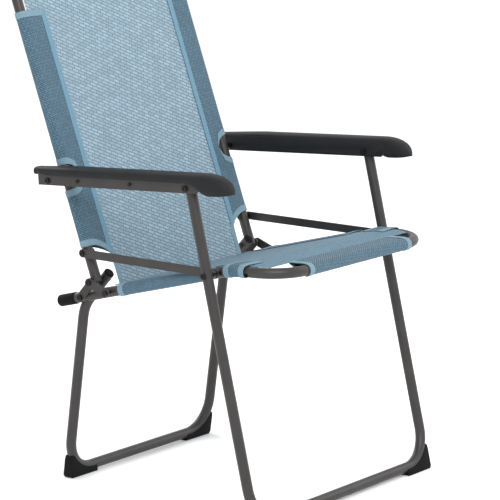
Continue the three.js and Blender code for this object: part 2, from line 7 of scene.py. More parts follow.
import bpy
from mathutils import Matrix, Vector


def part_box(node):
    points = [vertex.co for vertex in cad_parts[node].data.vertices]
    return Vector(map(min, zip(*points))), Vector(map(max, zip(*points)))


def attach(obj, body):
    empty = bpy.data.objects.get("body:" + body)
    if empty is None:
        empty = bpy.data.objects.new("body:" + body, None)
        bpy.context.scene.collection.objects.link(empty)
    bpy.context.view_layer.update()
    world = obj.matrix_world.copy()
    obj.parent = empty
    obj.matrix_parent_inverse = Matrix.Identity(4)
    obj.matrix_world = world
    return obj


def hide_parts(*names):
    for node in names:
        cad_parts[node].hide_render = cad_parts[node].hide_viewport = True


bl_info = {
    "name": "Folding Camp Chair",
    "version": (1, 0, 0),
    "blender": (4, 5, 0),
    "location": "3D View > Sidebar > Camp Chair",
    "description": "Builds the tubes, armrests, feet and woven slings of a folding camp chair",
    "category": "Object",
}

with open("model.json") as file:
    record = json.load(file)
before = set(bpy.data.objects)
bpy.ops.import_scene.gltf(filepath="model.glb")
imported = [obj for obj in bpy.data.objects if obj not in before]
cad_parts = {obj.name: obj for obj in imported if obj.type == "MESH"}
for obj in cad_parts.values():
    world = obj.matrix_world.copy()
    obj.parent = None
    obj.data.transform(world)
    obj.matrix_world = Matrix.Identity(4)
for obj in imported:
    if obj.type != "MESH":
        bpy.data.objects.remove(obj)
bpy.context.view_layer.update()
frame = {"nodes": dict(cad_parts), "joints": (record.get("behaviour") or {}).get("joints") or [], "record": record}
joint_place = {joint["name"]: Vector(joint["pos_m"]) for joint in frame["joints"]}

# ---- the frame's own joints, and the chair's lines in metres ----
SEAT_PIVOT = joint_place["fold"]
LINK_REAR = joint_place["back_hinge"]
ARM_FRONT = joint_place["armrest_hinge"]
HINGE_REAR = joint_place["rear_leg_hinge"]
SIDES = ((1, "left"), (-1, "right"))

FRONT_LEG_X = 0.2625
BACK_X = 0.225
REAR_LEG_X = 0.204
FRONT_LEG_LEAN = -0.24
BACK_LEAN = 0.37
REAR_LEG_LEAN = 0.14
SEAT_RISE = 0.2653
FLOOR_BAR_HEIGHT = 0.0127
FOOT_BEND = 0.062
CORNER = 0.072
SEAT_FRONT = 0.128
SEAT_REAR = -0.364
KNEE = 0.030
KNEE_BEND = 0.2
BACK_LOW = 0.3845
BACK_TOP = 0.953
FRONT_LEG_TOP = 0.594
REAR_LEG_BEHIND_PIVOT = 0.3777
HINGE_TOP_BEHIND_PIVOT = 0.2827
HINGE_TOP_HEIGHT = 0.3865
REAR_TOP_REACH = 0.016
REAR_ELBOW_REACH = 0.0306
REAR_ELBOW_BEND = 0.070


class ChairSizes(bpy.types.PropertyGroup):
    tube_radius: bpy.props.FloatProperty(
        name="Tube Radius", description="Outer radius of the frame tube",
        default=0.0095, unit="LENGTH")
    sleeve_gap: bpy.props.FloatProperty(
        name="Sleeve Gap", description="Slack between the tube and the cloth round it",
        default=0.0009, unit="LENGTH")
    cloth_thickness: bpy.props.FloatProperty(
        name="Cloth Thickness", description="Thickness of the woven cloth",
        default=0.0007, unit="LENGTH")
    tape_width: bpy.props.FloatProperty(
        name="Tape Width", description="Width of the binding tape on cut edges",
        default=0.011, unit="LENGTH")
    arm_roughness: bpy.props.FloatProperty(
        name="Armrest Roughness", description="Roughness of the moulded armrests",
        default=0.52, min=0.0, max=1.0, subtype="FACTOR")


class ChairColours(bpy.types.PropertyGroup):
    frame: bpy.props.FloatVectorProperty(
        name="Frame", description="Powder coat", subtype="COLOR", default=(0.038, 0.035, 0.034))
    armrest: bpy.props.FloatVectorProperty(
        name="Armrest", description="Moulded plastic", subtype="COLOR", default=(0.017, 0.0175, 0.019))
    rubber: bpy.props.FloatVectorProperty(
        name="Feet", description="Moulded feet and caps", subtype="COLOR", default=(0.0075, 0.0075, 0.008))
    panel: bpy.props.FloatVectorProperty(
        name="Panel", description="Main woven panel", subtype="COLOR", default=(0.205, 0.292, 0.355))
    # The seat's cloth colour is the back panel's cloth made darker: painted shade on the seat.
    seat_panel: bpy.props.FloatVectorProperty(
        name="Seat Panel Painted Shade", description="Woven cloth of the seat", subtype="COLOR",
        default=(0.082, 0.166, 0.226))
    sleeve: bpy.props.FloatVectorProperty(
        name="Sleeve", description="Double cloth round the tubes", subtype="COLOR",
        default=(0.068, 0.134, 0.186))
    seam: bpy.props.FloatVectorProperty(
        name="Seam", description="Plain strip along the seam", subtype="COLOR",
        default=(0.118, 0.232, 0.318))
    tape: bpy.props.FloatVectorProperty(
        name="Tape", description="Binding tape", subtype="COLOR", default=(0.155, 0.255, 0.315))


def sizes():
    return bpy.context.scene.chair_sizes


def colours():
    return bpy.context.scene.chair_colours


# ---- places ----
def front_leg_place(x, height):
    return Vector((x, SEAT_PIVOT.y - FRONT_LEG_LEAN * (height - SEAT_PIVOT.z), height))


def rear_leg_place(x, height):
    return Vector((x, SEAT_PIVOT.y + REAR_LEG_BEHIND_PIVOT - REAR_LEG_LEAN * height, height))


def back_place(x, height, out=0.0):
    """A point on the back tubes' plane, or `out` in front of it."""
    length = math.hypot(1, BACK_LEAN)
    y = LINK_REAR.y + BACK_LEAN * (height - LINK_REAR.z) - out / length
    return Vector((x, y, height + out * BACK_LEAN / length))


def seat_place(x, forward, out=0.0):
    """A point on the seat tubes' plane, which flattens at the knee, or `out` above it."""
    reach = KNEE_BEND * math.tan(math.atan(SEAT_RISE) / 2)
    t = min(max((forward - KNEE + reach) / (2 * reach), 0), 1)
    rise = SEAT_RISE * min(forward, KNEE - reach) + SEAT_RISE * 2 * reach * (t - t * t / 2)
    slope = SEAT_RISE * (1 - t)
    length = math.hypot(1, slope)
    return Vector((x, SEAT_PIVOT.y - forward + out * slope / length, SEAT_PIVOT.z + rise + out / length))


# ---- mesh helpers ----
def deselect():
    for obj in bpy.context.selected_objects:
        obj.select_set(False)


def pick(obj):
    deselect()
    obj.select_set(True)
    bpy.context.view_layer.objects.active = obj


def apply_modifiers(obj):
    pick(obj)
    for modifier in list(obj.modifiers):
        bpy.ops.object.modifier_apply(modifier=modifier.name)


def outward(obj):
    pick(obj)
    bpy.ops.object.mode_set(mode="EDIT")
    bpy.ops.mesh.select_all(action="SELECT")
    bpy.ops.mesh.remove_doubles(threshold=1e-5)
    bpy.ops.mesh.normals_make_consistent(inside=False)
    bpy.ops.object.mode_set(mode="OBJECT")


def smooth(obj, degrees=40):
    pick(obj)
    bpy.ops.object.shade_smooth_by_angle(angle=math.radians(degrees))


def settle(obj, material):
    """Puts a piece's place in its mesh and gives it its finish."""
    pick(obj)
    bpy.ops.object.transform_apply(location=True, rotation=True, scale=True)
    obj.data.materials.clear()
    obj.data.materials.append(material)
    return obj


def linked(name, data):
    obj = bpy.data.objects.new(name, data)
    bpy.context.scene.collection.objects.link(obj)
    return obj


def grid_mesh(name, rows, uv_rows):
    """A sheet from rows of points, with its own UV in metres."""
    mesh = bpy.data.meshes.new(name)
    width = len(rows[0])
    points = [p for row in rows for p in row]
    faces = [(r * width + c, r * width + c + 1, (r + 1) * width + c + 1, (r + 1) * width + c)
             for r in range(len(rows) - 1) for c in range(width - 1)]
    mesh.from_pydata(points, [], faces)
    flat = [uv for row in uv_rows for uv in row]
    layer = mesh.uv_layers.new(name="cloth")
    for loop in mesh.loops:
        layer.data[loop.index].uv = flat[loop.vertex_index]
    return linked(name, mesh)


def joined(objects, name):
    pick(objects[0])
    for obj in objects:
        obj.select_set(True)
    if len(objects) > 1:
        bpy.ops.object.join()
    result = bpy.context.view_layer.objects.active
    result.name = name
    return result


def thicken(obj, thickness):
    solid = obj.modifiers.new("Wall", "SOLIDIFY")
    solid.thickness = thickness
    solid.offset = 0
    apply_modifiers(obj)


def prism(name, near, far):
    """A closed solid between two outlines with the same number of points."""
    count = len(near)
    faces = [tuple(range(count)), tuple(range(2 * count - 1, count - 1, -1))]
    faces += [(k, (k + 1) % count, count + (k + 1) % count, count + k) for k in range(count)]
    mesh = bpy.data.meshes.new(name)
    mesh.from_pydata(near + far, [], faces)
    obj = linked(name, mesh)
    outward(obj)
    return obj


def soften(obj, width, segments):
    bevel = obj.modifiers.new("Soft Edges", "BEVEL")
    bevel.width = width
    bevel.segments = segments
    bevel.limit_method = "ANGLE"


def cut(obj, name, cutter):
    hole = obj.modifiers.new(name, "BOOLEAN")
    hole.operation = "DIFFERENCE"
    hole.object = cutter
    hole.solver = "EXACT"


def rounded(corners, radii, step=math.radians(6)):
    """Points along straight runs whose inner corners are arcs."""
    path = [corners[0]]
    for i in range(1, len(corners) - 1):
        before = (corners[i] - corners[i - 1]).normalized()
        after = (corners[i + 1] - corners[i]).normalized()
        turn = before.angle(after)
        reach = radii[i - 1] * math.tan(turn / 2)
        start = corners[i] - before * reach
        inward = (after - before).normalized()
        centre = corners[i] + inward * radii[i - 1] / math.cos(turn / 2)
        side = (start - centre)
        count = max(3, round(turn / step))
        for k in range(count + 1):
            angle = turn * k / count
            path.append(centre + side * math.cos(angle) + before * radii[i - 1] * math.sin(angle))
    path.append(corners[-1])
    return path


def tube(name, path, radius, material):
    curve = bpy.data.curves.new(name, "CURVE")
    curve.dimensions = "3D"
    curve.bevel_depth = radius
    curve.bevel_resolution = 6
    curve.use_fill_caps = True
    curve.twist_mode = "MINIMUM"
    spline = curve.splines.new("POLY")
    spline.points.add(len(path) - 1)
    for point, place in zip(spline.points, path):
        point.co = (*place, 1)
    pick(linked(name, curve))
    bpy.ops.object.convert(target="MESH")
    obj = bpy.context.view_layer.objects.active
    outward(obj)
    smooth(obj, 50)
    return settle(obj, material)


# ---- materials ----
def material_nodes(name, colour, roughness, metallic=0.0, specular=0.5):
    material = bpy.data.materials.new(name)
    material.use_nodes = True
    tree = material.node_tree
    shader = tree.nodes["Principled BSDF"]
    shader.inputs["Base Color"].default_value = (*colour, 1)
    shader.inputs["Roughness"].default_value = roughness
    shader.inputs["Metallic"].default_value = metallic
    shader.inputs["Specular IOR Level"].default_value = specular
    return material, tree, shader


def speckle(tree, shader, colour, scale, strength, depth, contrast=0.12):
    """Fine relief and a little colour variation on Object coordinates."""
    coords = tree.nodes.new("ShaderNodeTexCoord")
    noise = tree.nodes.new("ShaderNodeTexNoise")
    noise.inputs["Scale"].default_value = scale
    noise.inputs["Detail"].default_value = 3
    tree.links.new(coords.outputs["Object"], noise.inputs["Vector"])
    bump = tree.nodes.new("ShaderNodeBump")
    bump.inputs["Strength"].default_value = strength
    bump.inputs["Distance"].default_value = depth
    tree.links.new(noise.outputs["Fac"], bump.inputs["Height"])
    tree.links.new(bump.outputs["Normal"], shader.inputs["Normal"])
    wide = tree.nodes.new("ShaderNodeTexNoise")
    wide.inputs["Scale"].default_value = 24
    tree.links.new(coords.outputs["Object"], wide.inputs["Vector"])
    ramp = tree.nodes.new("ShaderNodeValToRGB")
    ramp.color_ramp.elements[0].position = 0.3
    ramp.color_ramp.elements[1].position = 0.7
    ramp.color_ramp.elements[0].color = (*[c * (1 - contrast) for c in colour], 1)
    ramp.color_ramp.elements[1].color = (*[c * (1 + contrast) for c in colour], 1)
    tree.links.new(wide.outputs["Fac"], ramp.inputs["Fac"])
    tree.links.new(ramp.outputs["Color"], shader.inputs["Base Color"])


def powder_coat():
    material, tree, shader = material_nodes(
        "powder_coat", colours().frame, roughness=0.4, metallic=0.25, specular=0.38)
    speckle(tree, shader, colours().frame, scale=900, strength=0.25, depth=0.0004)
    return material


def moulded_plastic():
    material, tree, shader = material_nodes(
        "moulded_plastic", colours().armrest, sizes().arm_roughness, specular=0.1)
    speckle(tree, shader, colours().armrest, scale=1400, strength=0.3, depth=0.0003, contrast=0.08)
    return material


def moulded_rubber():
    material, tree, shader = material_nodes(
        "moulded_rubber", colours().rubber, roughness=0.66, specular=0.07)
    speckle(tree, shader, colours().rubber, scale=700, strength=0.35, depth=0.0004, contrast=0.2)
    return material


STEEL_COLOUR = (0.02, 0.019, 0.018)


def black_steel():
    material, tree, shader = material_nodes("black_steel", STEEL_COLOUR, roughness=0.34, metallic=0.8)
    speckle(tree, shader, STEEL_COLOUR, scale=500, strength=0.15, depth=0.0003, contrast=0.3)
    return material


def woven(name, colour, thread_length, thread_width, angle, dark, relief):
    """Rows of short raised threads with dark gaps between them, laid on the cloth's UV."""
    material, tree, shader = material_nodes(name, colour, roughness=0.75, specular=0.3)
    shader.inputs["Sheen Weight"].default_value = 0.08
    shader.inputs["Sheen Roughness"].default_value = 0.5
    uv = tree.nodes.new("ShaderNodeUVMap")
    uv.uv_map = "cloth"
    turn = tree.nodes.new("ShaderNodeMapping")
    turn.inputs["Rotation"].default_value = (0, 0, math.radians(angle))
    tree.links.new(uv.outputs["UV"], turn.inputs["Vector"])
    brick = tree.nodes.new("ShaderNodeTexBrick")
    brick.inputs["Color1"].default_value = (*colour, 1)
    brick.inputs["Color2"].default_value = (*[min(1, c * 1.3) for c in colour], 1)
    brick.inputs["Mortar"].default_value = (*[c * dark for c in colour], 1)
    brick.inputs["Scale"].default_value = 1
    brick.inputs["Mortar Size"].default_value = thread_width * 0.2
    brick.inputs["Mortar Smooth"].default_value = 0.6
    brick.inputs["Brick Width"].default_value = thread_length
    brick.inputs["Row Height"].default_value = thread_width
    brick.offset = 0.35
    tree.links.new(turn.outputs["Vector"], brick.inputs["Vector"])
    tree.links.new(brick.outputs["Color"], shader.inputs["Base Color"])
    bump = tree.nodes.new("ShaderNodeBump")
    bump.invert = True
    bump.inputs["Strength"].default_value = 0.6
    bump.inputs["Distance"].default_value = relief
    tree.links.new(brick.outputs["Fac"], bump.inputs["Height"])
    tree.links.new(bump.outputs["Normal"], shader.inputs["Normal"])
    return material


WEAVES = {
    "panel": dict(name="woven_panel", thread_length=0.0150, thread_width=0.0060, angle=22, dark=0.6,
                  relief=0.0005),
    # Same weave as the back panel; the darker colour this cloth takes is painted shade.
    "seat_panel": dict(name="woven_seat", thread_length=0.0150, thread_width=0.0060, angle=22, dark=0.72,
                       relief=0.0003),
    "sleeve": dict(name="woven_sleeve", thread_length=0.0080, thread_width=0.0036, angle=38, dark=0.36,
                   relief=0.0006),
    "seam": dict(name="seam_strip", thread_length=0.0022, thread_width=0.0011, angle=0, dark=0.85,
                 relief=0.0002),
    "tape": dict(name="binding_tape", thread_length=0.0016, thread_width=0.0012, angle=0, dark=0.8,
                 relief=0.0002),
}
PAINT = {}


def finishes():
    if not PAINT:
        PAINT["frame"] = powder_coat()
        PAINT["armrest"] = moulded_plastic()
        PAINT["foot"] = moulded_rubber()
        PAINT["fastener"] = black_steel()
        for kind, settings in WEAVES.items():
            PAINT[kind] = woven(colour=getattr(colours(), kind), **settings)
    return PAINT


# ---- frame ----
def mirrored(points):
    return points + [Vector((-p.x, p.y, p.z)) for p in reversed(points)]


def frame_paths():
    hinge_top = Vector((REAR_LEG_X, SEAT_PIVOT.y + HINGE_TOP_BEHIND_PIVOT, HINGE_TOP_HEIGHT))
    hinge_rear = Vector((REAR_LEG_X, HINGE_REAR.y, HINGE_REAR.z))
    rise = (hinge_top - hinge_rear).normalized()
    return {
        "front_leg_frame": (mirrored([
            front_leg_place(FRONT_LEG_X, FRONT_LEG_TOP),
            front_leg_place(FRONT_LEG_X, FLOOR_BAR_HEIGHT)]), [FOOT_BEND] * 2, "front_leg"),
        "rear_leg_frame": (mirrored([
            hinge_top + rise * REAR_TOP_REACH,
            hinge_rear - rise * REAR_ELBOW_REACH,
            rear_leg_place(REAR_LEG_X, FLOOR_BAR_HEIGHT)]),
            [REAR_ELBOW_BEND, FOOT_BEND, FOOT_BEND, REAR_ELBOW_BEND], "rear_leg"),
        "back_frame": (mirrored([
            back_place(BACK_X, BACK_LOW), back_place(BACK_X, BACK_TOP)]), [CORNER] * 2, "back"),
        "seat_frame": (mirrored([
            seat_place(BACK_X, SEAT_REAR),
            Vector((BACK_X, SEAT_PIVOT.y - KNEE, SEAT_PIVOT.z + SEAT_RISE * KNEE)),
            Vector((BACK_X, SEAT_PIVOT.y - SEAT_FRONT, SEAT_PIVOT.z + SEAT_RISE * KNEE))]),
            [KNEE_BEND, CORNER, CORNER, KNEE_BEND], "seat"),
    }


class CHAIR_OT_tubes(bpy.types.Operator):
    """Bend the four frame tubes"""
    bl_idname = "chair.tubes"
    bl_label = "Frame Tubes"

    def execute(self, context):
        for node, (corners, radii, body) in frame_paths().items():
            piece = tube(f"{node}_tube", rounded(corners, radii), sizes().tube_radius, finishes()["frame"])
            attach(piece, body)
            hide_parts(node)
        return {"FINISHED"}


class CHAIR_OT_carried(bpy.types.Operator):
    """Give the plates, bars and bolts of the frame their finishes"""
    bl_idname = "chair.carried"
    bl_label = "Plates, Bars and Bolts"

    def execute(self, context):
        slots = {row["node"]: row["material_slot"] for row in frame["record"]["subparts"]}
        paint = dict(finishes(), cap=finishes()["foot"], sling=finishes()["panel"])
        for node, obj in frame["nodes"].items():
            obj.data.materials.clear()
            obj.data.materials.append(paint[slots[node]])
        return {"FINISHED"}


# ---- feet and caps ----
FOOT_HEIGHT = 0.044
FOOT_LENGTH = 0.075
FOOT_HALF_WIDTH = 0.011
FOOT_SIDE_WALL = 0.0015
FOOT_TAPER = 0.18
FOOT_EDGE = 0.0018
GROOVE_SLACK = 0.0002
CAP_REACH = 0.0348
CAP_RADIUS = 0.0109
CAP_END = 0.0054
CAP_GAP = 0.0003


def foot(name, leg_x, side, place, path, body, node):
    """A wedge cradling the bend: an outline across the chair, pushed through, rounded and grooved."""
    outer = leg_x + FOOT_SIDE_WALL
    outline = [(outer - 0.004, 0), (outer, 0.005)]
    outline += [(outer + 0.002, FOOT_HEIGHT * 0.8), (outer + 0.001, FOOT_HEIGHT)]
    centre_x = leg_x - FOOT_BEND
    centre_z = FLOOR_BAR_HEIGHT + FOOT_BEND
    start = math.asin((FOOT_HEIGHT - centre_z) / FOOT_BEND)
    for k in range(9):
        angle = start + (-math.pi / 2 - start) * k / 8
        outline.append((centre_x + FOOT_BEND * math.cos(angle), centre_z + FOOT_BEND * math.sin(angle)))
    outline += [(outer - FOOT_LENGTH + 0.003, FLOOR_BAR_HEIGHT), (outer - FOOT_LENGTH, 0)]
    ends = []
    for depth in (-FOOT_HALF_WIDTH, FOOT_HALF_WIDTH):
        end = []
        for x, z in outline:
            at = place(side * x, z)
            taper = 1 - FOOT_TAPER * z / FOOT_HEIGHT
            end.append((at.x, at.y + depth * taper, z))
        ends.append(end)
    obj = prism(name, *ends)
    soften(obj, FOOT_EDGE, 3)
    apply_modifiers(obj)
    cutter = tube(f"{name}_cutter", path, sizes().tube_radius + GROOVE_SLACK, finishes()["foot"])
    cut(obj, "Groove", cutter)
    apply_modifiers(obj)
    bpy.data.objects.remove(cutter)
    smooth(obj, 35)
    settle(obj, finishes()["foot"])
    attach(obj, body)
    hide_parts(node)


def turned(name, profile, axis_from, axis, material, body, node=None, steps=28):
    """A turned piece: a profile of (distance along the axis, radius), spun round it."""
    axis = axis.normalized()
    across = axis.orthogonal().normalized()
    other = axis.cross(across)
    rows = []
    for along, radius in profile:
        rows.append([axis_from + axis * along + (across * math.cos(a) + other * math.sin(a)) * radius
                     for a in (2 * math.pi * k / steps for k in range(steps + 1))])
    obj = grid_mesh(name, rows, [[(0, 0)] * len(row) for row in rows])
    outward(obj)
    smooth(obj, 35)
    settle(obj, material)
    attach(obj, body)
    if node:
        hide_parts(node)
    return obj


class CHAIR_OT_feet(bpy.types.Operator):
    """Mould the feet and the end caps"""
    bl_idname = "chair.feet"
    bl_label = "Feet and Caps"

    def execute(self, context):
        paths = frame_paths()
        front = rounded(*paths["front_leg_frame"][:2])
        rear = rounded(*paths["rear_leg_frame"][:2])
        rise = (paths["rear_leg_frame"][0][0] - paths["rear_leg_frame"][0][1]).normalized()
        back_down = (back_place(0, 0) - back_place(0, 1)).normalized()
        seat_back = (seat_place(0, -1) - seat_place(0, -0.5)).normalized()
        r = sizes().tube_radius
        bore = r + GROOVE_SLACK
        cup = [(-CAP_REACH, bore), (-CAP_REACH, CAP_RADIUS - 0.0005), (0.0008 - CAP_REACH, CAP_RADIUS),
               (0.0035, CAP_RADIUS), (0.0050, CAP_RADIUS - 0.0009), (CAP_END, CAP_RADIUS - 0.0024),
               (CAP_END, 0.0), (CAP_GAP, 0.0), (CAP_GAP, bore), (-CAP_REACH, bore)]
        dome = [(CAP_GAP, 0), (CAP_GAP, r), (0.0016, r), (0.0026, r - 0.001), (0.0032, r - 0.003),
                (0.0034, 0)]
        plug = [(0.0002, 0), (0.0002, r - 0.0008), (0.0010, r - 0.002), (0.0012, 0)]
        for side, side_name in SIDES:
            foot(f"front_foot_moulding_{side_name}", FRONT_LEG_X, side, front_leg_place, front,
                 "front_leg", f"front_foot_{side_name}")
            foot(f"rear_foot_moulding_{side_name}", REAR_LEG_X, side, rear_leg_place, rear,
                 "rear_leg", f"rear_foot_{side_name}")
            top = Vector((side * REAR_LEG_X, *paths["rear_leg_frame"][0][0][1:]))
            caps = (
                ("seat_cup", cup, seat_place(side * BACK_X, SEAT_REAR), seat_back, "seat", "seat_end_cap"),
                ("rear_leg_dome", dome, top, rise, "rear_leg", "rear_leg_cap"),
                ("back_end_dome", plug, back_place(side * BACK_X, BACK_LOW), back_down, "back",
                 "back_end_plug"))
            for piece, profile, at, along, body, node in caps:
                turned(f"{piece}_{side_name}", profile, at, along, finishes()["foot"], body,
                       f"{node}_{side_name}")
        return {"FINISHED"}


# ---- armrests ----
ARM_LENGTH = 0.31424
ARM_RISE = math.atan2(0.018, ARM_LENGTH)
ARM_REAR_END = -0.349
ARM_NOSE = 0.0945
PAD_LIP = 0.0105
NOSE_BASE = -0.0105
PAD_TOP = 0.0232
PAD_CROWN = 0.0034
NOSE_ROWS_START = 0.0300
NOSE_START = 0.034
REAR_TAPER = 0.10
SWEEP_START, SWEEP_LENGTH = 0.002, 0.050
CROWN = 0.0012
SIDE_SQUARENESS, TOP_SQUARENESS = 0.45, 0.62
NOSE_TIP = -0.0055
NOSE_TIP_BASE = -0.0065
REAR_WIDTH_SHARE = 0.72
SKIRT_NEAR, SKIRT_FAR = 0.24668, 0.2482
SKIRT_HOLE = 0.0058
SKIRT_EDGE = 0.0005
SKIRT_LOW = -0.0092
SKIRT_HIGH = 0.0205


def arm_place(x, along, up):
    """A point on the armrest: along it from the front pivot, and up from the pivot line."""
    c, s = math.cos(ARM_RISE), math.sin(ARM_RISE)
    return Vector((x, ARM_FRONT.y - along * c + up * s, ARM_FRONT.z + along * s + up * c))


def ease(t):
    t = min(max(t, 0.0), 1.0)
    return t * t * (3 - 2 * t)


def armrest_pad(side, side_name):
    """A lofted moulding: rounded sections along the arm, whose lower edge sweeps down in an S round the
    channel's front end into a drooping nose, with a tall skirt on the inner side."""
    low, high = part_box(f"armrest_pad_{side_name}")
    channel_low, channel_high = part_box(f"armrest_channel_{side_name}")
    inner = min(abs(channel_low[0]), abs(channel_high[0])) + 0.0003
    outer = max(abs(low[0]), abs(high[0])) - 0.0006
    rows = []
    ring = 32
    nose_length = ARM_NOSE - NOSE_ROWS_START
    stations = [ARM_REAR_END + (NOSE_ROWS_START - ARM_REAR_END) * k / 26 for k in range(26)]
    stations += [NOSE_ROWS_START + nose_length * math.sin(math.pi / 2 * k / 16) for k in range(17)]
    for along in stations:
        run = min(max((along - ARM_REAR_END) / REAR_TAPER, 0), 1)
        tip = min(max((along - NOSE_START) / (ARM_NOSE - NOSE_START), 0), 1)
        base = PAD_LIP + (NOSE_BASE - PAD_LIP) * ease((along - SWEEP_START) / SWEEP_LENGTH)
        lift = base + (NOSE_TIP_BASE - NOSE_BASE) * tip ** 4
        droop = 1 - math.sqrt(max(0, 1 - tip ** 2.1))
        top = PAD_TOP + PAD_CROWN * run
        top_here = top + (NOSE_TIP - top) * droop
        width = REAR_WIDTH_SHARE + (1 - REAR_WIDTH_SHARE) * math.sin(math.pi / 2 * run)
        width *= math.sqrt(max(0.02, 1 - (tip * 0.985) ** 4))
        half = (outer - inner) / 2 * width
        middle = inner + half if tip == 0 else (inner + outer) / 2 - 0.0015 * tip
        half_height = max((top_here - lift) / 2, 0.0008)
        centre = (top_here + lift) / 2
        section = []
        for j in range(ring + 1):
            angle = 2 * math.pi * j / ring
            c, s = math.cos(angle), math.sin(angle)
            x = middle + half * math.copysign(abs(c) ** SIDE_SQUARENESS, c)
            z = centre + half_height * math.copysign(abs(s) ** TOP_SQUARENESS, s)
            crown = CROWN * (1 - ((x - middle) / half) ** 2) if s > 0 else 0
            section.append(arm_place(side * x, along, z + crown - CROWN))
        rows.append(section)
    first, last = rows[0], rows[-1]
    rows.insert(0, [sum(first, Vector()) / len(first)] * len(first))
    rows.append([sum(last, Vector()) / len(last)] * len(last))
    pad = grid_mesh(f"armrest_moulding_{side_name}", rows, [[(0, 0)] * len(r) for r in rows])
    outward(pad)
    obj = joined([pad, armrest_skirt(side)], f"armrest_moulding_{side_name}")
    smooth(obj, 48)
    settle(obj, finishes()["armrest"])
    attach(obj, "armrests")
    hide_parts(f"armrest_pad_{side_name}")


def armrest_skirt(side):
    """The moulding's smooth inner face, which hides the channel, with a hole for the front pivot."""
    outline = [(ARM_REAR_END + 0.004, SKIRT_LOW + 0.004), (ARM_REAR_END + 0.009, SKIRT_LOW)]
    outline += [(0.040, SKIRT_LOW), (0.048, SKIRT_LOW + 0.006), (0.048, SKIRT_HIGH - 0.008)]
    outline += [(0.040, SKIRT_HIGH), (ARM_REAR_END + 0.006, SKIRT_HIGH - 0.001)]
    outline += [(ARM_REAR_END + 0.004, SKIRT_HIGH - 0.004)]
    near, far = [[arm_place(side * x, along, up) for along, up in outline] for x in (SKIRT_NEAR, SKIRT_FAR)]
    obj = prism("skirt", near, far)
    bpy.ops.mesh.primitive_cylinder_add(
        radius=SKIRT_HOLE, depth=0.01, vertices=32, rotation=(0, math.pi / 2, 0),
        location=arm_place(side * (SKIRT_NEAR + SKIRT_FAR) / 2, 0, 0))
    cutter = bpy.context.active_object
    cut(obj, "Pivot Hole", cutter)
    soften(obj, SKIRT_EDGE, 2)
    apply_modifiers(obj)
    bpy.data.objects.remove(cutter)
    return obj


RIVET = [(0, 0.0055), (0.0009, 0.0054), (0.0017, 0.0046), (0.0022, 0.0032), (0.0023, 0.0024),
         (0.0012, 0.0020), (0.0010, 0.0)]


class CHAIR_OT_armrests(bpy.types.Operator):
    """Mould the armrest pads and set the domed rivets"""
    bl_idname = "chair.armrests"
    bl_label = "Armrests and Rivets"

    def execute(self, context):
        rivets = {"seat_pivot_bolt": "front_leg", "arm_front_bolt": "front_leg",
                  "link_bar_bolt": "side_links", "rear_hinge_bolt": "seat",
                  "top_hinge_outer_bolt": "rear_leg", "arm_rear_bolt": "armrests"}
        for side, side_name in SIDES:
            armrest_pad(side, side_name)
            for bolt, body in rivets.items():
                low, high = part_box(f"{bolt}_{side_name}")
                middle = (Vector(low) + Vector(high)) / 2
                face = max(abs(low[0]), abs(high[0])) - 0.0002
                place = Vector((side * face, middle.y, middle.z))
                turned(f"{bolt}_rivet_{side_name}", [(0, 0)] + RIVET, place, Vector((side, 0, 0)),
                       finishes()["fastener"], body)
        return {"FINISHED"}


# ---- slings ----
PANEL_OUT = 0.0085
SEAM_X = 0.180
SEAM_WIDTH = 0.012
SEAM_EDGE = SEAM_X + 0.004
SEAM_LIFT = 0.0016
EDGE_LIFT = 0.0008
EDGE_OVERHANG = 0.0005
TAPE_LIFT = 0.0007
STATION_STEP = 0.0005
NOTCH_LOW, NOTCH_HIGH = 0.545, 0.589
NOTCH_DEPTH = 0.036


def teardrop(seam, tube_at, radius, steps=18):
    """Cloth round a tube as (across, out): over the front, round the outside and back to the seam."""
    away = math.copysign(1, tube_at - seam)
    front = [(seam + (tube_at - seam) * k / 5, PANEL_OUT + 0.0009 + (radius - PANEL_OUT - 0.0009) * k / 5)
             for k in range(5)]
    turn = [(tube_at + away * radius * math.sin(angle), radius * math.cos(angle))
            for angle in between(0, math.pi, steps)]
    rear = [(tube_at + (seam - tube_at) * k / 5, -radius + (PANEL_OUT - 0.0009 + radius) * k / 5)
            for k in range(1, 6)]
    return front + turn + rear


def sleeve(name, place, side, low, high, extra=0.0, rows=10):
    """Cloth wrapped round one side tube between two edges, each a function of the distance across."""
    radius = sizes().tube_radius + sizes().sleeve_gap + extra
    section = teardrop(SEAM_X, BACK_X, radius)
    grid, uvs = [], []
    for r in range(rows + 1):
        line, uv_line, run = [], [], 0.0
        for k, (x, out) in enumerate(section):
            along = low(x) + (high(x) - low(x)) * r / rows
            if k:
                run += math.dist(section[k], section[k - 1])
            line.append(place(side * x, along, out + (extra if k < 5 else 0)))
            uv_line.append((run * side, along))
        grid.append(line)
        uvs.append(uv_line)
    return grid_mesh(name, grid, uvs)


def bar_sleeve(name, place, along_bar, seam_along, half_width, extra=0.0, low=-1.0, high=1.0):
    """Cloth wrapped round a cross bar, over part of its width."""
    radius = sizes().tube_radius + sizes().sleeve_gap + extra
    section = teardrop(seam_along, along_bar, radius)
    grid, uvs = [], []
    for r in range(21):
        x = half_width * (low + (high - low) * r / 20)
        line, uv_line, run = [], [], 0.0
        for k, (along, out) in enumerate(section):
            if k:
                run += math.dist(section[k], section[k - 1])
            line.append(place(x, along, out + (extra if k < 5 else 0)))
            uv_line.append((x, run))
        grid.append(line)
        uvs.append(uv_line)
    return grid_mesh(name, grid, uvs)


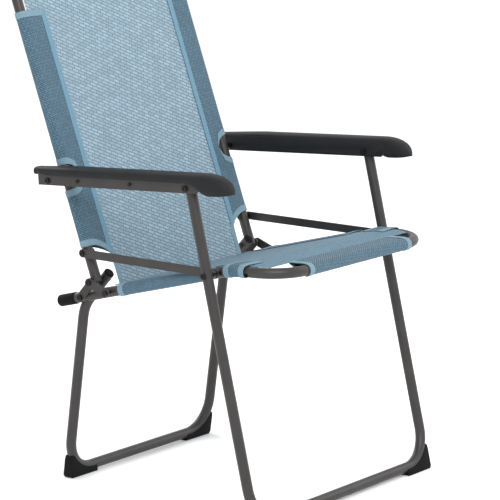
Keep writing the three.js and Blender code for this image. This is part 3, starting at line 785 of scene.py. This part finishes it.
def panel(name, place, stations, half_width, sag, columns=36):
    """The flat cloth between the seams, `half_width` wide at each station, sagging in the middle."""
    grid, uvs = [], []
    first, last = stations[0], stations[-1]
    for along in stations:
        wide = half_width(along)
        bow = math.sin(math.pi * (along - first) / (last - first))
        line, uv_line = [], []
        for c in range(columns + 1):
            x = wide * (2 * c / columns - 1)
            drop = sag * bow * (1 - (x / wide) ** 2)
            line.append(place(x, along, PANEL_OUT - drop))
            uv_line.append((x, along))
        grid.append(line)
        uvs.append(uv_line)
    return grid_mesh(name, grid, uvs)


def edge_tape(name, place, side, stations, edge, width, out):
    """A tape along the panel's side edge."""
    grid, uvs = [], []
    for along in stations:
        x_out = edge(along)
        line = [place(side * (x_out - width * c / 3), along, out) for c in range(4)]
        grid.append(line)
        uvs.append([(along, width * c / 3) for c in range(4)])
    return grid_mesh(name, grid, uvs)


def between(low, high, count):
    return [low + (high - low) * k / count for k in range(count + 1)]


def notch(x):
    """Half the height of the cut-out for the armrest at a distance across."""
    depth = (BACK_X + 0.0104 - x) / NOTCH_DEPTH
    return (NOTCH_HIGH - NOTCH_LOW) / 2 * math.sqrt(max(0.0, 1 - depth * depth))


def finish_cloth(parts, name, kind, body):
    obj = joined(parts, name)
    thicken(obj, sizes().cloth_thickness)
    smooth(obj, 50)
    settle(obj, finishes()[kind])
    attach(obj, body)
    return obj


BACK_SLEEVE_LOW, BACK_SLEEVE_TOP = 0.446, 0.856
BACK_PANEL_LOW = 0.3722
TAIL_CUT = 0.003
LOW_EDGE_DIP = 0.018


def back_low_edge(x):
    """The sleeves' lower edge, which dips from the tube towards the seam."""
    inward = max(0.0, BACK_X - x) / (BACK_X - SEAM_X)
    return BACK_SLEEVE_LOW - LOW_EDGE_DIP * inward ** 2


def back_half_width(height):
    """Half width of the back panel: a curved cut at the low corners, and round corners at the top."""
    low_cut = back_low_edge(SEAM_X)
    if height < low_cut:
        t = (height - BACK_PANEL_LOW) / (low_cut - BACK_PANEL_LOW)
        return SEAM_X + 0.0005 - TAIL_CUT * math.sqrt(max(0.0, 1 - t * t))
    if height <= BACK_SLEEVE_TOP:
        return SEAM_X + 0.0005
    return corner_half_width(height, BACK_TOP)


def corner_half_width(along, bar):
    reach = CORNER - 0.008
    rise = min(max(along - (bar - CORNER), 0), reach)
    return BACK_X - CORNER + math.sqrt(max(reach * reach - rise * rise, 0)) + 0.0001


class CHAIR_OT_back_sling(bpy.types.Operator):
    """Sew the back: panel, sleeves, seam strips and binding tape"""
    bl_idname = "chair.back_sling"
    bl_label = "Back Sling"

    def execute(self, context):
        middle = (NOTCH_LOW + NOTCH_HIGH) / 2
        tape = sizes().tape_width
        seam_at = BACK_TOP - 0.038
        stations = between(BACK_PANEL_LOW, back_low_edge(SEAM_X), 16)
        stations += between(back_low_edge(SEAM_X) + STATION_STEP, BACK_SLEEVE_TOP, 40)
        stations += between(BACK_SLEEVE_TOP + STATION_STEP, seam_at, 14)
        cloth = panel("back_panel_cloth", back_place, stations, back_half_width, 0.002)
        sleeves, tapes, seams = [], [], []

        def fade(x):
            return tape * min(1.0, notch(x) / 0.012)

        for side, _ in SIDES:
            sleeves.append(sleeve("low", back_place, side, back_low_edge, lambda x: middle - notch(x)))
            sleeves.append(sleeve("high", back_place, side, lambda x: middle + notch(x),
                                  lambda x: BACK_SLEEVE_TOP, rows=24))
            tapes.append(sleeve("low_hem", back_place, side, back_low_edge,
                                lambda x: back_low_edge(x) + tape, TAPE_LIFT, 2))
            tapes.append(sleeve("top_hem", back_place, side, lambda x: BACK_SLEEVE_TOP - tape,
                                lambda x: BACK_SLEEVE_TOP, TAPE_LIFT, 2))
            tapes.append(sleeve("under_arm_hem", back_place, side, lambda x: middle - notch(x) - fade(x),
                                lambda x: middle - notch(x), TAPE_LIFT, 2))
            tapes.append(sleeve("over_arm_hem", back_place, side, lambda x: middle + notch(x),
                                lambda x: middle + notch(x) + fade(x), TAPE_LIFT, 2))
            seams.append(edge_tape("seam", back_place, side,
                                   between(back_low_edge(SEAM_X), BACK_SLEEVE_TOP, 30),
                                   lambda h: SEAM_EDGE, SEAM_WIDTH, PANEL_OUT + SEAM_LIFT))
            tapes.append(edge_tape("tail_tape", back_place, side,
                                   between(BACK_PANEL_LOW, back_low_edge(SEAM_X), 14),
                                   lambda h: back_half_width(h) + EDGE_OVERHANG, tape,
                                   PANEL_OUT + EDGE_LIFT))
        sleeves.append(bar_sleeve("bar", back_place, BACK_TOP, seam_at, BACK_X - CORNER))
        for low, high in ((-1, -0.92), (0.92, 1)):
            tapes.append(bar_sleeve("bar_hem", back_place, BACK_TOP, seam_at, BACK_X - CORNER, TAPE_LIFT,
                                    low, high))
        cloth = finish_cloth([cloth], "back_panel", "panel", "back")
        extra = [finish_cloth(sleeves, "back_sleeves", "sleeve", "back"),
                 finish_cloth(seams, "back_seams", "seam", "back"),
                 finish_cloth(tapes, "back_binding", "tape", "back")]
        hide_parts("back_fabric")
        return {"FINISHED"}


SEAT_SLEEVE_REAR = -0.225
SEAT_PANEL_REAR = -0.2785
PIVOT_GAP = (-0.022, 0.013)
SEAT_SLEEVE_FRONT = 0.056


def seat_half_width(forward):
    if forward < SEAT_SLEEVE_REAR:
        t = (forward - SEAT_PANEL_REAR) / (SEAT_SLEEVE_REAR - SEAT_PANEL_REAR)
        return SEAM_X + 0.0005 - TAIL_CUT * math.sqrt(max(0.0, 1 - t * t))
    if forward <= PIVOT_GAP[0]:
        return SEAM_X + 0.0005
    if forward < SEAT_SLEEVE_FRONT:
        return BACK_X - 0.0165
    return corner_half_width(forward, SEAT_FRONT)


class CHAIR_OT_seat_sling(bpy.types.Operator):
    """Sew the seat: panel, sleeves, seam strips and binding tape"""
    bl_idname = "chair.seat_sling"
    bl_label = "Seat Sling"

    def execute(self, context):
        tape = sizes().tape_width
        seam_at = SEAT_FRONT - 0.036
        stations = between(SEAT_PANEL_REAR, SEAT_SLEEVE_REAR, 12)
        stations += between(SEAT_SLEEVE_REAR + STATION_STEP, PIVOT_GAP[0], 22)
        stations += between(PIVOT_GAP[0] + STATION_STEP, SEAT_SLEEVE_FRONT, 10)
        stations += between(SEAT_SLEEVE_FRONT + STATION_STEP, seam_at, 8)
        cloth = panel("seat_panel_cloth", seat_place, stations, seat_half_width, 0.0005)
        sleeves, tapes, seams = [], [], []
        ends = [(SEAT_SLEEVE_REAR, PIVOT_GAP[0]), (PIVOT_GAP[1], SEAT_SLEEVE_FRONT)]
        for side, _ in SIDES:
            for low, high in ends:
                sleeves.append(sleeve("run", seat_place, side, lambda x: low, lambda x: high, rows=12))
                tapes.append(sleeve("rear_hem", seat_place, side, lambda x: low, lambda x: low + tape,
                                    TAPE_LIFT, 2))
                tapes.append(sleeve("front_hem", seat_place, side, lambda x: high - tape, lambda x: high,
                                    TAPE_LIFT, 2))
            seams.append(edge_tape("seam", seat_place, side, between(SEAT_SLEEVE_REAR, PIVOT_GAP[0], 20),
                                   lambda f: SEAM_EDGE, SEAM_WIDTH, PANEL_OUT + SEAM_LIFT))
            tapes.append(edge_tape("tail_tape", seat_place, side,
                                   between(SEAT_PANEL_REAR, SEAT_SLEEVE_REAR, 12),
                                   lambda f: seat_half_width(f) + EDGE_OVERHANG, tape,
                                   PANEL_OUT + EDGE_LIFT))
        sleeves.append(bar_sleeve("bar", seat_place, SEAT_FRONT, seam_at, BACK_X - CORNER))
        for low, high in ((-1, -0.92), (0.92, 1)):
            tapes.append(bar_sleeve("bar_hem", seat_place, SEAT_FRONT, seam_at, BACK_X - CORNER, TAPE_LIFT,
                                    low, high))
        # The seat panel gets the darker copy of the panel cloth, which is painted shade.
        cloth = finish_cloth([cloth], "seat_panel", "seat_panel", "seat")
        extra = [finish_cloth(sleeves, "seat_sleeves", "sleeve", "seat"),
                 finish_cloth(seams, "seat_seams", "seam", "seat"),
                 finish_cloth(tapes, "seat_binding", "tape", "seat")]
        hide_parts("seat_fabric")
        return {"FINISHED"}


# ---- stage ----
CAMERA_PLACE = (-3.6394, -2.8805, 1.3229)
CAMERA_AZIMUTH = math.radians(-52.34)
CAMERA_DROP = math.radians(11.01)
CAMERA_LENS = 186.1


def area_light(name, place, size, power):
    bpy.ops.object.light_add(type="AREA", location=place)
    lamp = bpy.context.active_object
    lamp.name = name
    lamp.data.size = size
    lamp.data.energy = power
    lamp.rotation_euler = (Vector((0, 0, 0.45)) - Vector(place)).to_track_quat("-Z", "Y").to_euler()


class CHAIR_OT_stage(bpy.types.Operator):
    """Lay the floor and set the lights and the camera"""
    bl_idname = "chair.stage"
    bl_label = "Stage"

    def execute(self, context):
        deselect()
        bpy.ops.mesh.primitive_plane_add(size=40, location=(0, 0, -0.0002))
        floor = bpy.context.active_object
        floor.name = "studio_floor"
        paper, _, _ = material_nodes("pale_floor", (0.95, 0.95, 0.95), 0.9)
        settle(floor, paper)
        world = bpy.data.worlds.new("studio")
        world.use_nodes = True
        world.node_tree.nodes["Background"].inputs["Color"].default_value = (1, 1, 1, 1)
        world.node_tree.nodes["Background"].inputs["Strength"].default_value = 1.1
        context.scene.world = world
        area_light("key", (-2.2, -2.6, 3.2), 2.2, 95)
        area_light("fill", (2.8, -1.6, 2.0), 2.4, 30)
        area_light("rim", (0.6, 3.0, 2.6), 2.0, 45)
        data = bpy.data.cameras.new("studio_camera")
        data.lens = CAMERA_LENS
        data.sensor_width = 36
        data.clip_end = 100
        camera = bpy.data.objects.new("studio_camera", data)
        context.scene.collection.objects.link(camera)
        camera.location = CAMERA_PLACE
        level = math.cos(CAMERA_DROP)
        look = Vector((-math.sin(CAMERA_AZIMUTH) * level, math.cos(CAMERA_AZIMUTH) * level,
                       -math.sin(CAMERA_DROP)))
        camera.rotation_euler = look.to_track_quat("-Z", "Y").to_euler()
        context.scene.camera = camera
        context.scene.view_settings.view_transform = "Standard"
        return {"FINISHED"}


class CHAIR_PT_build(bpy.types.Panel):
    """Buttons that build the chair"""
    bl_label = "Camp Chair"
    bl_idname = "CHAIR_PT_build"
    bl_space_type = "VIEW_3D"
    bl_region_type = "UI"
    bl_category = "Camp Chair"

    def draw(self, context):
        for operator in OPERATORS:
            self.layout.operator(operator.bl_idname)


OPERATORS = (CHAIR_OT_stage, CHAIR_OT_carried, CHAIR_OT_tubes, CHAIR_OT_feet, CHAIR_OT_armrests,
             CHAIR_OT_back_sling, CHAIR_OT_seat_sling)
CLASSES = (ChairSizes, ChairColours) + OPERATORS + (CHAIR_PT_build,)


def register():
    for cls in CLASSES:
        bpy.utils.register_class(cls)
    bpy.types.Scene.chair_sizes = bpy.props.PointerProperty(type=ChairSizes)
    bpy.types.Scene.chair_colours = bpy.props.PointerProperty(type=ChairColours)


def unregister():
    del bpy.types.Scene.chair_colours
    del bpy.types.Scene.chair_sizes
    for cls in reversed(CLASSES):
        bpy.utils.unregister_class(cls)


def main():
    register()
    bpy.ops.chair.stage()
    bpy.ops.chair.carried()
    bpy.ops.chair.tubes()
    bpy.ops.chair.feet()
    bpy.ops.chair.armrests()
    bpy.ops.chair.back_sling()
    bpy.ops.chair.seat_sling()


if __name__ == "__main__":
    main()
